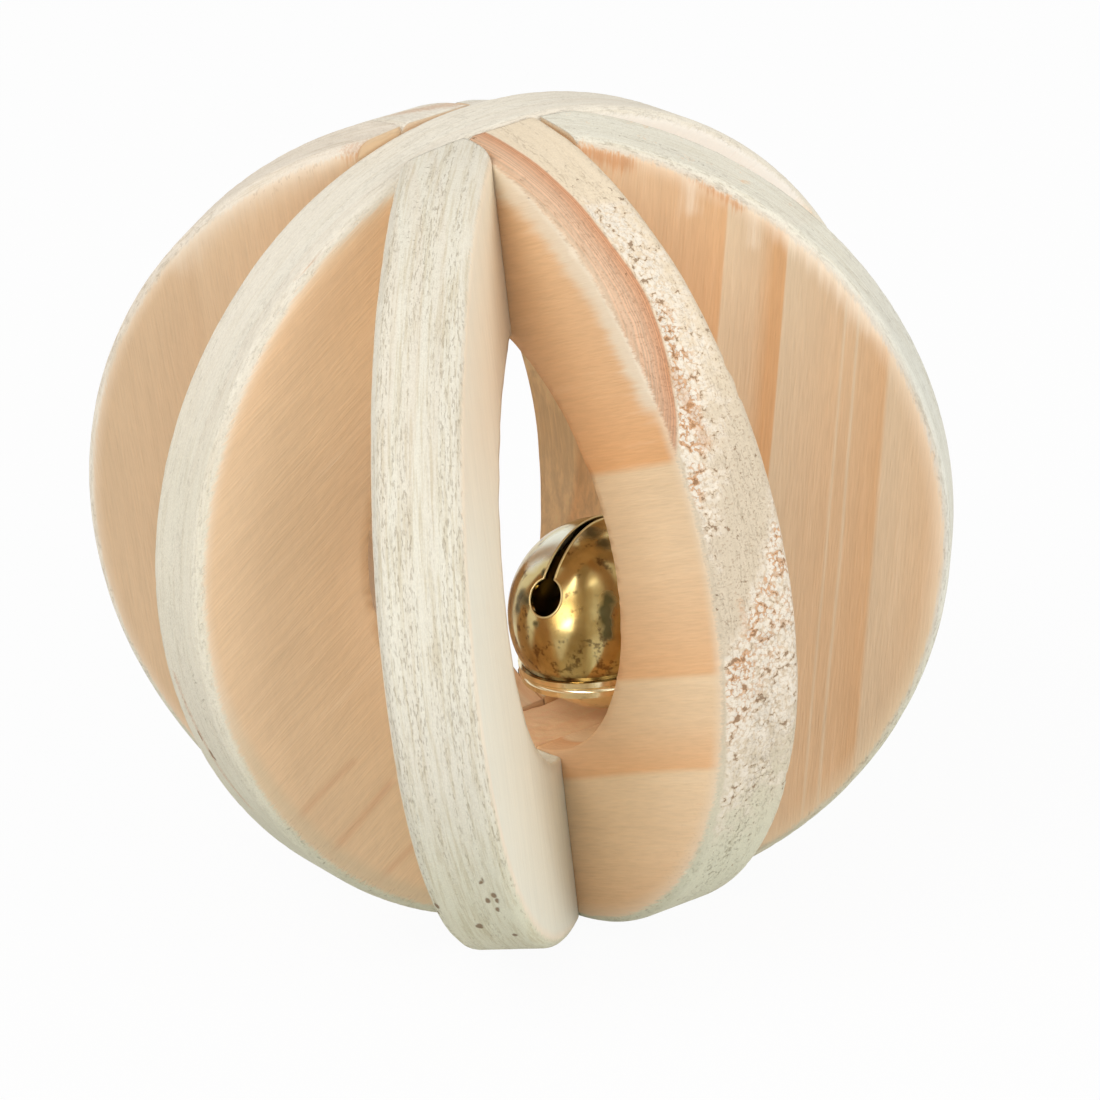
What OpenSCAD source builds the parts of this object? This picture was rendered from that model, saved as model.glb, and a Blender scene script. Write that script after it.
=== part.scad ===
// Rattle ball for small pets: flat wooden rings crossing on one upright axis, with a loose
// brass bell in the hollow where their holes meet.
// Millimetres. +Z is the axis on which the rings cross, the ball stands on Z = 0, and -Y is the
// front. An azimuth of 0 points to the front (-Y) and grows towards the right (+X).

/* [Rings] */
// diameter that every ring is sawn to
ball_d = 60; // [54:1:72]
// thickness of the planed boards
plate_t = 6.3; // [5:0.1:7.5]
// hole drilled through every ring
hole_d = 33.5; // [30:0.5:37]
// radius sanded on the outer edges
edge_r = 0.9; // [0.4:0.1:1.5]

/* [Where each ring was glued] */
// azimuth of the through ring's front half
through_az = -46.7; // [-49:0.1:-43]
// how far the through ring slipped towards the front
through_out = -2.4; // [-3:0.1:1]
// how far off centre the through ring's hole was drilled, towards the front
through_hole_out = -0.8; // [-1.5:0.1:1]
// azimuth of the front half ring
front_az = 0; // [-3:0.1:3]
// how far the front half ring stands out
front_out = 1.8; // [-1:0.1:2.5]
// azimuth of the front right half ring
front_right_az = 40.6; // [39:0.1:44]
// how far the front right half ring stands out
front_right_out = 0.5; // [-1:0.1:2.5]
// sideways slip of the front right half ring
front_right_side = 1.6; // [0:0.1:1.8]
// azimuth of the right half ring
right_az = 92.7; // [89:0.1:94]
// how far the right half ring stands out
right_out = 1.9; // [-1:0.1:2.5]
// azimuth of the back half ring
back_az = 170.8; // [168:0.1:176]
// how far the back half ring stands out
back_out = -0.4; // [-1:0.1:2.5]
// azimuth of the back left half ring
back_left_az = -140; // [-143:0.1:-136]
// how far the back left half ring stands out
back_left_out = 0; // [-1:0.1:2.5]
// azimuth of the left half ring
left_az = -97.1; // [-99:0.1:-92]
// how far the left half ring stands out
left_out = 0.9; // [-1:0.1:2.5]

/* [Bell] */
// outer diameter of the bell's shell
bell_d = 14; // [12:0.5:15]
// brass sheet
bell_wall = 0.4; // [0.3:0.05:0.6]
// azimuth of the side on which the bell lies
bell_az = 112.7; // [108:0.1:117]
// angle of the bell's place up from the bottom of the hollow
bell_up = 36; // [25:1:45]
// lean of the bell's own axis
bell_lean = 4.3; // [0:0.1:8]
// azimuth to which the bell leans
bell_lean_az = -101; // [-180:1:180]
// azimuth of the bell's slot
slot_az = -29.6; // [-60:0.1:60]
// width of the slot at the top of the bell
slot_w = 0.8; // [0.4:0.05:1.2]
// width of the slot where it runs into each round hole
slot_mouth = 1.05; // [0.6:0.05:1.5]
// round hole at each end of the slot
keyhole_d = 2.9; // [2:0.1:3.4]
// angle from the top of the bell to each round hole
keyhole_angle = 58; // [50:1:64]
// steel pellet inside the bell
pellet_d = 3.5; // [3:0.1:4.5]

/* [Hidden] */
$fn = 96;
ring_r = ball_d / 2;
hole_r = hole_d / 2;
half_t = plate_t / 2;
bell_r = bell_d / 2;
reach = 3 * ball_d;                  // longer than anything that it cuts

// the middle of the ball's footprint, measured from the axis
right_x = (ring_r + right_out) * sin(right_az) - half_t * cos(right_az);
left_x = (ring_r + left_out) * sin(left_az) + half_t * cos(left_az);
front_y = -(ring_r + front_out) * cos(front_az) - half_t * abs(sin(front_az));
back_y = -(ring_r + back_out) * cos(back_az) + half_t * abs(sin(back_az));
mid = [(right_x + left_x) / 2, (front_y + back_y) / 2];

// the bell rolls out from the axis until the nearer of its two rings stops it
bell_gap = 0.15;                     // air left between the bell and that ring
function along(v, az) = v[0] * sin(az) - v[1] * cos(az);
function across(v, az) = v[0] * cos(az) + v[1] * sin(az);
function bell_at(far) = [far * sin(bell_up) * sin(bell_az),
                         -far * sin(bell_up) * cos(bell_az), -far * cos(bell_up)];
function rim_gap(v, az, out) = norm([hole_r - norm([along(v, az) - out, v[2]]),
                                     max(abs(across(v, az)) - half_t, 0)]) - bell_r;
function air(far) = min(rim_gap(bell_at(far), right_az, right_out),
                        rim_gap(bell_at(far), through_az + 180, -through_out - through_hole_out));
function settle(lo, hi, n) = n == 0 ? lo :
    air((lo + hi) / 2) > bell_gap ? settle((lo + hi) / 2, hi, n - 1) : settle(lo, (lo + hi) / 2, n - 1);
bell_pos = bell_at(settle(0, hole_r - bell_r + half_t, 24));

// the bell's seam, where the cap's edge is rolled over the shell's flange
fit = 0.03;                          // air between the rolled edge and the flange
seam_z = -0.235 * bell_d;
flange_t = bell_wall;
ridge_top = flange_t + 2 * fit + 0.6 * bell_wall;
ridge_low = 1.2 * bell_wall;
function shell_out(z) = sqrt(bell_r * bell_r - z * z);
flange_r = shell_out(seam_z + ridge_top);
lip_in = flange_r + fit;
ridge_r = lip_in + 0.7 * bell_wall;
groove_r = 0.22;                     // round groove that parts the two ridges
groove_depth = 0.12;

// how far from the bell's own axis the slot runs into a round hole
slot_end = (bell_r - bell_wall / 2) * sin(keyhole_angle);

wood = [0.93, 0.82, 0.66];
pale_wood = [0.95, 0.88, 0.76];
brass = [0.80, 0.66, 0.32];
steel = [0.62, 0.62, 0.64];

// the frame's origin is on the ground, under the middle of the ball
module place() translate([-mid[0], -mid[1], ring_r]) children();

// puts children on the axis, in the frame of a ring with this azimuth and slip
module seat(az, out = 0, side = 0) rotate([0, 0, az]) translate([side, -out, 0]) children();

// one sawn ring round X: a disc with its two outer edges sanded round, and a drilled hole
module ring(hole_out = 0) rotate([0, 90, 0]) difference() {
    rotate_extrude() {
        translate([0, -half_t]) square([ring_r - edge_r, plate_t]);
        translate([0, edge_r - half_t]) square([ring_r, plate_t - 2 * edge_r]);
        for (s = [-1, 1]) translate([ring_r - edge_r, s * (half_t - edge_r)]) circle(edge_r);
    }
    translate([0, -hole_out, 0]) cylinder(r = hole_r, h = 2 * plate_t, center = true);
}

// everything that lies beyond one face of a ring: s = 1 on the side of growing azimuth
module beyond(az, side, s) seat(az) translate([side + s * (half_t + reach / 2), 0, 0])
    cube(reach, center = true);

// the through ring's two sides, where the half rings are glued on
module front_side() beyond(through_az, 0, 1);
module back_side() beyond(through_az, 0, -1);

module through_ring() color(pale_wood) place() seat(through_az, through_out)
    ring(through_hole_out);

// the two middle half rings butt square against the through ring
module front_right_half_ring() color(wood) place() intersection() {
    seat(front_right_az, front_right_out, front_right_side) ring();
    front_side();
}
module back_left_half_ring() color(wood) place() intersection() {
    seat(back_left_az, back_left_out) ring();
    back_side();
}

// the other four are sawn to a point that fills the corner between two rings
module front_half_ring() color(pale_wood) place() intersection() {
    seat(front_az, front_out) ring();
    front_side();
    beyond(front_right_az, front_right_side, -1);
}
module right_half_ring() color(wood) place() intersection() {
    seat(right_az, right_out) ring();
    front_side();
    beyond(front_right_az, front_right_side, 1);
}
module back_half_ring() color(pale_wood) place() intersection() {
    seat(back_az, back_out) ring();
    back_side();
    beyond(back_left_az, 0, -1);
}
module left_half_ring() color(wood) place() intersection() {
    seat(left_az, left_out) ring();
    back_side();
    beyond(back_left_az, 0, 1);
}

// puts children in the bell's own frame, with its top up
module bell_frame() place() translate(bell_pos)
    rotate([0, 0, bell_lean_az]) rotate([bell_lean, 0, 0])
    rotate([0, 0, slot_az - bell_lean_az]) children();

// a hollow ball's wall between two heights, as a half section
module wall_section(low, high) intersection() {
    difference() {
        circle(bell_r);
        circle(bell_r - bell_wall);
    }
    translate([0, low]) square([bell_r, high - low]);
}

// the slotted shell: more than half of a hollow ball, with a flange at its mouth
module bell_shell() color(brass) bell_frame() difference() {
    rotate_extrude() {
        wall_section(seam_z, bell_r);
        translate([shell_out(seam_z) - bell_wall, seam_z])
            square([flange_r - shell_out(seam_z) + bell_wall, flange_t]);
    }
    // one slot over the top, from the first round hole to the second, wider towards them
    linear_extrude(bell_d) polygon([
        [slot_w / 2, 0], [slot_mouth / 2, slot_end], [-slot_mouth / 2, slot_end],
        [-slot_w / 2, 0], [-slot_mouth / 2, -slot_end], [slot_mouth / 2, -slot_end]]);
    for (s = [-1, 1]) rotate([s * keyhole_angle, 0, 0]) cylinder(d = keyhole_d, h = bell_d);
}

// the cap closes the mouth, and its rolled edge makes the double ridge round the bell
module bell_cap() color(brass) bell_frame() rotate_extrude() difference() {
    union() {
        wall_section(-bell_r, seam_z - ridge_low + bell_wall / 2);
        translate([shell_out(seam_z - ridge_low) - bell_wall, seam_z - ridge_low])
            square([ridge_r - shell_out(seam_z - ridge_low) + bell_wall, ridge_low - fit]);
        translate([lip_in, seam_z - ridge_low]) square([ridge_r - lip_in, ridge_low + ridge_top]);
    }
    translate([ridge_r + groove_r - groove_depth, seam_z + (ridge_top - ridge_low) / 2])
        circle(groove_r);
}

// the pellet lies at the lowest point inside the cap
module bell_pellet() color(steel) place() translate(bell_pos)
    translate([0, 0, pellet_d / 2 - bell_r + bell_wall + fit]) sphere(d = pellet_d);

through_ring();
front_half_ring();
front_right_half_ring();
right_half_ring();
back_half_ring();
back_left_half_ring();
left_half_ring();
bell_shell();
bell_cap();
bell_pellet();
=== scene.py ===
"""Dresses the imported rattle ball: seven sawn wooden rings with their grain, saw marks and torn
rims, the brass bell inside them, and a plain studio. Lengths in the code are millimetres."""
import math
from types import SimpleNamespace

import bpy
import numpy as np
from bpy.props import FloatProperty, FloatVectorProperty, PointerProperty
from mathutils import Matrix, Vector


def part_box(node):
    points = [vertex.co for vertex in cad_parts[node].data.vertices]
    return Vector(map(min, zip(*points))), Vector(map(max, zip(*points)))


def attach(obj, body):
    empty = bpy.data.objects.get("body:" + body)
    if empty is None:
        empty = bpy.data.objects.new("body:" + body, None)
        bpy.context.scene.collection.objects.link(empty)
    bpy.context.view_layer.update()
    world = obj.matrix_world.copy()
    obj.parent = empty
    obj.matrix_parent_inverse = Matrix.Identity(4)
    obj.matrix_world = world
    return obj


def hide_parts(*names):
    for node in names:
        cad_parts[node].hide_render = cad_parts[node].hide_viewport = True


bl_info = {
    "name": "Rattle ball",
    "version": (1, 0, 0),
    "blender": (4, 5, 0),
    "location": "3D View > Sidebar > Rattle ball",
    "description": "Builds the wooden rings, the bell and the studio of a small pet's rattle ball",
    "category": "Object",
}

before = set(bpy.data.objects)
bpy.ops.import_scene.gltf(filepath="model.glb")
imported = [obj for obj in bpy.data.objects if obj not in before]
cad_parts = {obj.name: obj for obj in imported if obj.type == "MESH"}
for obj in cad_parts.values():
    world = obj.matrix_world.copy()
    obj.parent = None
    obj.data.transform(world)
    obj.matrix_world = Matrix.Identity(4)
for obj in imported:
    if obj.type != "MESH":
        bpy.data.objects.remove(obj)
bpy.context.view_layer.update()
MM = 0.001

# A ring's mesh: steps up a face and round a rounded edge, the bevel between a face and the hole's
# wall, and the depth below the rim that the wood of a sawn end counts as. Saw marks lie at
# SAW_ANGLE to the grain.
FACE_STEPS, CORNER_STEPS, NICK, END_DEPTH = 32, 6, 0.12, 6.0
SAW_ANGLE = math.radians(62)

# The tube round the bell's slot: its steps along each edge, its sides, and its radius. Then the
# display colour of the pellet.
LIP_STEPS, TUBE_SIDES, LIP_TUBE = 64, 10, 0.09
STEEL = (0.62, 0.62, 0.64)

# The studio: half the floor's width in mm; lamps as (name, place, width) and what they point at,
# in metres; the camera's azimuth, height and roll in radians, and its place from the middle of
# the rings' axis in mm.
FLOOR_HALF = 2000.0
LAMPS = (("key", (-0.30, -0.42, 0.65), 0.50), ("fill", (0.60, -0.45, 0.25), 0.45),
         ("low", (-0.50, -0.73, 0.26), 0.42))
LAMP_TARGET = (0.0, 0.0, 0.03)
CAMERA_TURNS = (0.197826, 0.394309, -0.114173)
CAMERA_PLACE = (72.552, -347.520, 144.861)

# A ring's look, where its own doesn't say. Face: saw marks (saw), late wood (contrast), bleaching
# (pale), the pale margin beside the rim (glow), its width (margin), how torn it is (jag) and how
# far it widens low down (bloom), and how fibrous (comb) and whether greyish (bleached) pale marks
# are. Rim: fine lines (stripes), open fibres (dashes), late wood (late) and lines in it (lines),
# pits and chips (rough), and how far orange fibres keep off it (clean). Tints: tone of the face
# and low of its low part; rim, crown and corner of the rim, its high part and its edges. lift:
# painted light, how much brighter the face gets high up, or darker where lift is below 0. inner:
# painted light and shade, the face's brightness at the rim and at the hole, which evens out the
# shade that the other rings cast.
LOOK = dict(saw=0.0, contrast=0.7, pale=0.0, glow=0.75, margin=0.6, jag=0.2, bloom=0.0, comb=1.0,
            bleached=False, stripes=0.5, dashes=0.4, late=0.25, lines=0.0, clean=0.3,
            tone=(1, 1, 1), low=None, rim=(1, 1, 1), crown=None, corner=None, lift=0.0, inner=None)

# The seven rings. az: direction in which a half ring points. out, side: how far it slipped.
# hole_out: how far its hole lies off its centre. cuts: the ring faces that it was sawn to, as
# (az, side, sign). grain: angle of the grain in the ring's own plane, from outward to up. pith:
# where the tree's pith lay, across the grain in that plane and through the board. At distances
# from the pith, growth: how dark the wood is. crumbly and torn: how crumbled and how torn its end
# grain is. rim_growth: the same as growth, for the rim. shade: painted light, how bright the face
# is made at each distance from the pith. grid: steps round the ring and across its rim, (310, 28)
# if not given.
RINGS = {
    "through_ring": dict(
        az=-46.7, out=-2.4, hole_out=-0.8, cuts=(), grain=149.6, pith=(-6.0, 150.0),
        growth=((146.6, 0.3), (147.6, 0.24), (148.6, 0.44), (148.9, 0.22), (150.4, 0.4),
                (150.7, 0.2), (153.0, 0.3)), grid=(620, 28),
        look=dict(seed=11, saw=0.4, stripes=0.35, rough=0.3, margin=0.4, dashes=0.12,
                  tone=(1.14, 1.125, 1.095), lift=0.14, rim=(0.92, 0.93, 0.895), bloom=0.9,
                  crown=(0.965, 0.985, 0.99), inner=(0.94, 1.04), bleached=True)),
    "front_half_ring": dict(
        az=0.0, out=1.8, cuts=((-46.7, 0.0, 1), (40.6, 1.6, -1)), grain=88.0, pith=(-20.0, -60.0),
        growth=((57.0, 0.25), (58.4, 0.45), (58.6, 0.1), (60.0, 0.5), (60.3, 0.12), (61.6, 0.4),
                (61.9, 0.15), (63.5, 0.3)),
        look=dict(seed=23, stripes=0.8, rough=0.3, pale=0.85, dashes=0.75, margin=0.4,
                  tone=(0.985, 1.0, 0.98), low=(1.01, 1.11, 1.2), rim=(0.86, 0.885, 0.88))),
    "front_right_half_ring": dict(
        az=40.6, out=0.5, side=1.6, cuts=((-46.7, 0.0, 1),), grain=20.0, pith=(18.0, -42.3),
        growth=((37.0, 0.35), (39.0, 0.5), (40.4, 0.72), (41.9, 1.0), (42.05, 0.1),
                (44.6, 0.2), (46.3, 0.4), (49.2, 0.78), (49.45, 0.1), (51.2, 0.24),
                (53.7, 0.8), (54.0, 0.1), (57.5, 0.28), (61.5, 0.6), (62.0, 0.1)),
        crumbly=((41.95, 0.0), (42.1, 1.0), (43.0, 0.95), (44.4, 0.65), (45.6, 0.45), (46.6, 0.1),
                 (48.2, 0.1), (49.4, 0.8), (50.6, 1.0), (53.5, 0.9), (56.0, 0.75), (58.5, 0.45),
                 (61.0, 0.2)),
        torn=((41.95, 0.0), (42.1, 1.0), (42.9, 0.85), (43.8, 0.5), (44.6, 0.0), (48.8, 0.0),
              (49.8, 0.75), (51.6, 0.6), (53.2, 0.42), (55.0, 0.0)), grid=(450, 44),
        rim_growth=((38.9, 0.0), (39.7, 0.48), (40.8, 0.64), (41.8, 0.95), (41.98, 0.0)),
        look=dict(seed=37, stripes=0.2, rough=1.0, contrast=1.0, margin=0.9, late=1.0, lines=1.0,
                  tone=(1.07, 1.088, 1.075), rim=(0.75, 0.684, 0.606),
                  crown=(0.91, 0.825, 0.72))),
    "right_half_ring": dict(
        az=92.7, out=1.9, cuts=((-46.7, 0.0, 1), (40.6, 1.6, 1)), grain=80.5, pith=(45.0, 18.0),
        growth=((52.0, 0.25), (60.6, 0.7), (60.98, 0.75), (61.1, 0.15), (63.3, 0.34),
                (64.9, 1.0), (65.2, 1.0), (65.33, 0.14), (68.5, 0.42), (69.4, 0.5),
                (69.5, 0.1), (69.65, 0.5), (70.3, 0.52), (70.45, 0.12), (70.6, 0.54),
                (72.5, 0.72), (72.8, 0.25), (76.0, 0.5)),
        shade=((52.0, 1.0), (60.5, 1.0), (62.0, 0.92), (66.0, 0.83), (76.0, 0.8)),
        look=dict(seed=41, late=0.05, clean=0.8, rough=0.4, contrast=1.2, margin=0.9,
                  jag=1.8, glow=0.6, dashes=0.5, tone=(1.049, 1.143, 1.195), lift=-0.12, bloom=0.3,
                  rim=(0.865, 0.92, 0.95), crown=(0.925, 0.955, 0.95), corner=(0.88, 0.82, 0.8))),
    "back_half_ring": dict(
        az=170.8, out=-0.4, cuts=((-46.7, 0.0, -1), (-140.0, 0.0, -1)), grain=90.0,
        pith=(10.0, -40.0),
        growth=((38.0, 0.3), (40.0, 0.8), (40.3, 0.15), (42.0, 0.7), (42.3, 0.1), (44.5, 0.8),
                (44.8, 0.2), (48.0, 0.6), (48.4, 0.2)),
        # painted light: this ring's tone and rim tint brighten it where it lies in shade behind the
        # hole
        look=dict(seed=53, stripes=0.8, rough=0.4, contrast=1.1, dashes=0.6,
                  tone=(1.15, 1.3, 1.32), rim=(1.0, 1.05, 1.09))),
    "back_left_half_ring": dict(
        az=-140.0, out=0.0, cuts=((-46.7, 0.0, -1),), grain=8.0, pith=(-12.0, -50.0),
        growth=((44.0, 0.2), (48.0, 0.6), (48.3, 0.08), (52.5, 0.55), (52.8, 0.08), (58.0, 0.5),
                (58.3, 0.1)),
        crumbly=((48.2, 0.0), (48.4, 0.8), (50.0, 0.6), (51.5, 0.0)),
        torn=((48.3, 0.0), (48.5, 0.8), (49.2, 0.0)), grid=(200, 28),
        look=dict(seed=67, stripes=0.4, rough=0.8)),
    "left_half_ring": dict(
        az=-97.1, out=0.9, cuts=((-46.7, 0.0, -1), (-140.0, 0.0, 1)), grain=88.0,
        pith=(-80.0, -60.0),
        growth=((70.0, 0.3), (79.0, 0.46), (88.0, 0.52), (88.5, 0.4), (99.0, 0.5), (110.0, 0.6)),
        look=dict(seed=71, saw=0.2, stripes=0.7, rough=0.5, margin=0.5, jag=0.05, comb=0.3,
                  tone=(0.927, 0.97, 0.965), lift=0.06)),
}

# How the loose bell lies, in degrees: turned about its own axis, leant, and turned again.
BELL_TURNS = (("Z", 71.4), ("X", 4.3), ("Z", -101.0))

# Patches on the bell, as a centre in the row frame and a radius: dark green painted reflections,
# and a pale painted sheen that stands for the white studio reflected at the top left.
BELL_SHEEN = (((3.0, 2.2, 27.8), 1.5), ((2.0, 1.9, 27.3), 1.3), ((0.9, 1.6, 26.5), 1.0))
BELL_DARK_REFLECTIONS = (((6.8, -2.3, 24.9), 0.42), ((6.8, -2.6, 24.3), 0.5), ((6.8, -2.9, 23.7), 0.52),
              ((6.7, -3.1, 23.1), 0.5), ((6.7, -3.3, 22.5), 0.42), ((5.4, 2.1, 28.2), 0.8),
              ((6.4, 1.0, 27.8), 0.7), ((0.9, -0.7, 24.3), 0.6), ((0.2, -0.1, 24.3), 0.6),
              ((-0.1, -0.2, 23.4), 0.5), ((1.4, -2.1, 22.7), 0.35), ((2.0, -0.2, 26.2), 0.3))

# Where the fibres tore low on the rim of the whole ring.
LOW_TEAR = ((29.8, -1.7, -3.5), (29.3, -1.3, -6.4), (28.6, -0.9, -9.0), (27.7, -0.7, -11.5),
            (26.3, 0.0, -14.5))

# Marks in the wood, as (kind, width, strength, points) with the points (outward, across, up) from
# the ring's own centre: resin streaks, pale or orange torn fibres, dense specks, and dark pinholes.
MARKS = {
    "through_ring": (
        ("resin", 0.3, 0.5, ((19.3, 3.2, -12.4), (21.8, 3.2, -13.6), (24.6, 3.2, -15.2))),
        ("resin", 0.35, 0.55, ((16.6, 3.2, -15.1), (19.0, 3.2, -16.7), (22.3, 3.2, -18.8))),
        ("resin", 0.3, 0.5, ((15.2, 3.2, -20.4), (17.0, 3.2, -21.3), (19.4, 3.2, -22.7))),
        ("orange", 0.13, 0.75, ((18.6, 2.6, 23.5), (14.3, 2.9, 26.4), (9.6, 3.0, 28.4))),
        ("speck", 0.8, 0.45, ((26.0, 3.2, -14.8), (21.0, 3.2, -21.3), (15.0, 3.2, -25.9))),
        ("speck", 0.45, 0.5, LOW_TEAR),
        ("orange", 0.3, 0.75, LOW_TEAR),
        ("speck", 1.1, 0.42, ((29.9, 1.2, -2.0), (29.2, 1.6, -7.0), (27.6, 2.0, -11.8))),
        ("pin", 0.45, 1.0, ((28.8, -0.8, -8.2), (28.3, -0.6, -9.9))),
        ("pin", 0.45, 1.0, ((27.1, 0.4, -12.9), (26.9, 0.5, -13.3))),
        ("pale", 5.0, 1.4, ((-3.0, 3.2, 29.0), (-13.0, 3.2, 25.0), (-19.5, 3.2, 19.5))),
    ),
    "front_half_ring": (
        ("speck", 1.6, 0.38, ((5.5, -0.8, 29.4), (14.2, -1.1, 26.4))),
        ("speck", 1.4, 0.36, ((26.5, -0.6, -12.0), (21.0, -0.3, -20.0), (17.0, 0.0, -24.0))),
        ("pin", 0.5, 1.0, ((24.9, -2.2, -16.8), (23.1, -2.6, -19.1))),
        ("pin", 0.45, 1.0, ((22.5, 0.0, -19.8), (20.8, -0.4, -21.6))),
        ("pin", 0.45, 1.0, ((26.2, 0.7, -14.6), (25.9, 0.8, -15.1))),
        ("pin", 0.45, 1.0, ((25.1, 1.5, -16.5), (23.5, 1.1, -18.6))),
        ("pin", 0.5, 1.0, ((20.4, 1.8, -22.0), (20.0, 1.8, -22.3))),
    ),
    "front_right_half_ring": (
        ("speck", 2.3, 0.54, ((29.5, -0.2, -5.0), (28.4, 0.0, -9.7), (26.4, -0.5, -14.3),
                              (23.4, -0.8, -18.8), (21.0, -0.5, -21.4))),
        ("orange", 0.6, 0.85, ((24.0, -1.3, 17.9), (25.0, -1.2, 16.6), (26.9, -0.9, 13.3))),
        ("orange", 0.4, 0.6, ((29.9, -1.3, 2.8), (30.0, -1.1, 0.6))),
        ("pale", 0.9, 0.9, ((29.8, 3.0, -3.5), (29.0, 2.9, -7.7), (26.8, 3.0, -13.5),
                            (21.8, 2.9, -20.6))),
        ("pale", 1.8, 1.0, ((3.0, -3.2, 28.9), (12.0, -3.2, 26.6), (19.3, -3.2, 21.8),
                            (23.5, -3.2, 17.0))),
    ),
    "right_half_ring": (
        ("pale", 0.8, 0.6, ((14.3, -3.2, 26.6), (14.0, -3.2, 23.6))),
        ("pale", 0.7, 0.55, ((18.4, -3.2, 23.9), (18.0, -3.2, 20.8))),
        ("pale", 1.2, 0.5, ((20.6, -3.2, 21.4), (23.4, -3.2, 18.0), (25.6, -3.2, 14.3))),
        ("orange", 0.8, 0.95, ((6.4, -3.1, 28.9), (8.2, -3.2, 27.9), (9.7, -3.2, 27.2))),
        ("orange", 0.6, 0.85, ((14.6, -3.2, 25.9), (15.6, -3.2, 25.0), (17.4, -3.2, 23.6))),
        ("speck", 1.3, 0.42, ((8.0, -0.5, 28.9), (13.0, -0.9, 27.1), (16.5, -1.2, 25.1))),
        ("speck", 1.0, 0.36, ((10.0, 0.0, 28.3), (22.0, 0.0, 20.4), (27.0, 0.0, 13.0))),
    ),
    "back_left_half_ring": (("orange", 1.5, 0.9, ((7.6, 0.3, 29.1), (4.0, -3.0, 29.7))),),
    "left_half_ring": (
        ("pale", 1.5, 0.5, ((20.0, 3.2, 21.0), (17.8, 3.2, 23.3), (14.2, 3.2, 25.7),
                            (11.0, 3.2, 27.2), (8.4, 3.2, 28.3))),
        ("orange", 1.0, 0.9, ((6.3, 3.2, 29.0), (3.9, 3.2, 29.6), (2.3, 3.2, 29.8))),
        ("speck", 0.7, 0.36, ((14.0, 3.2, 25.9), (9.0, 3.2, 28.1))),
    ),
}
MARK_KINDS = ("resin", "pale", "orange", "speck", "pin")


# ---------------- numbers
def lattice(cell, seed):
    """A fixed number in 0..1 for each whole-number cell (n, 3)."""
    h = (cell[:, 0] * 374761393 + cell[:, 1] * 668265263 + cell[:, 2] * 974634777
         + seed * 1274126177) & 0xFFFFFFFF
    h = ((h ^ (h >> 13)) * 1274126177) & 0xFFFFFFFF
    h = ((h ^ (h >> 15)) * 2246822519) & 0xFFFFFFFF
    return ((h ^ (h >> 16)) & 0xFFFF) / 65535.0


def noise(points, seed):
    """Smooth noise in -1..1 at points (n, 3): the eight corners of each point's unit cell carry
    fixed numbers, blended by s(t) = 3t^2 - 2t^3 along each axis."""
    low = np.floor(points)
    t = points - low
    t = t * t * (3.0 - 2.0 * t)
    total = 0.0
    for corner in np.ndindex(2, 2, 2):
        x, y, z = np.where(corner, t, 1.0 - t).T
        total += x * y * z * lattice(low.astype(np.int64) + np.array(corner), seed)
    return 2.0 * total - 1.0


def smooth(low, high, value):
    """0 at low, 1 at high, and 3t^2 - 2t^3 between them; low may be the greater."""
    t = np.clip((value - low) / (high - low), 0.0, 1.0)
    return t * t * (3.0 - 2.0 * t)


def near_line(points, line, width):
    """1 on a polyline and exp(-(distance/width)^2) away from it."""
    line = np.array(line)
    best = np.full(len(points), np.inf)
    for a, b in zip(line[:-1], line[1:]):
        ab = b - a
        t = np.clip((points - a) @ ab / (ab @ ab), 0.0, 1.0)
        best = np.minimum(best, np.sum((points - a - t[:, None] * ab) ** 2, axis=1))
    return np.exp(-best / width ** 2)


def crumbs(points, seed):
    """Grains at points (n, 3): each unit cell holds one scattered centre; with F1 and F2 the
    distances to the nearest and the second nearest, F2 - F1 is 0 in the cracks between grains."""
    low = np.floor(points).astype(np.int64)
    first, second = np.full((2, len(points)), np.inf)
    for step in np.ndindex(3, 3, 3):
        cell = low + np.array(step) - 1
        centre = cell + np.stack([lattice(cell, seed + n) for n in range(3)], axis=1)
        far = np.linalg.norm(points - centre, axis=1)
        second = np.minimum(second, np.maximum(first, far))
        first = np.minimum(first, far)
    return second - first


def directions(az):
    """Unit vectors outward at azimuth az, in degrees, and across it."""
    s, c = math.sin(math.radians(az)), math.cos(math.radians(az))
    return np.array([s, -c, 0.0]), np.array([c, s, 0.0])


def unit(vectors):
    """Vectors (n, d) scaled to length 1."""
    return vectors / np.linalg.norm(vectors, axis=1)[:, None]


def along(points):
    """The direction of a closed line at each of its points, not scaled."""
    return np.roll(points, -1, axis=0) - np.roll(points, 1, axis=0)


# ---------------- objects
def add_object(name, data):
    """Puts a mesh, lamp or camera into the scene."""
    obj = bpy.data.objects.new(name, data)
    bpy.context.scene.collection.objects.link(obj)
    return obj


def facing(right, up, back, place):
    """The matrix of a lamp or camera at a place in metres, looking away from back."""
    return Matrix([*zip(right, up, back, place), (0.0, 0.0, 0.0, 1.0)])


def make_object(name, points, faces, attributes=()):
    """A smooth-shaded mesh object at the origin, from points in millimetres."""
    mesh = bpy.data.meshes.new(name)
    mesh.from_pydata((points * MM).tolist(), [], faces)
    for key, values in attributes:
        values = np.asarray(values, dtype=np.float32)
        kind, field = ("FLOAT_VECTOR", "vector") if values.ndim == 2 else ("FLOAT", "value")
        mesh.attributes.new(key, kind, "POINT").data.foreach_set(field, values.ravel())
    mesh.shade_smooth()
    mesh.validate()
    mesh.update()
    return add_object(name, mesh)


def quads(rows, cols, wrap_cols=True):
    """The quads of a grid whose vertex (i, j) is number i * cols + j. Its last row joins its
    first, and so does its last column where wrap_cols is set."""
    i, j = np.indices((rows, cols if wrap_cols else cols - 1)).reshape(2, -1)
    i2, j2 = (i + 1) % rows, (j + 1) % cols
    return np.stack([i * cols + j, i * cols + j2, i2 * cols + j2, i2 * cols + j], axis=1)


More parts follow.
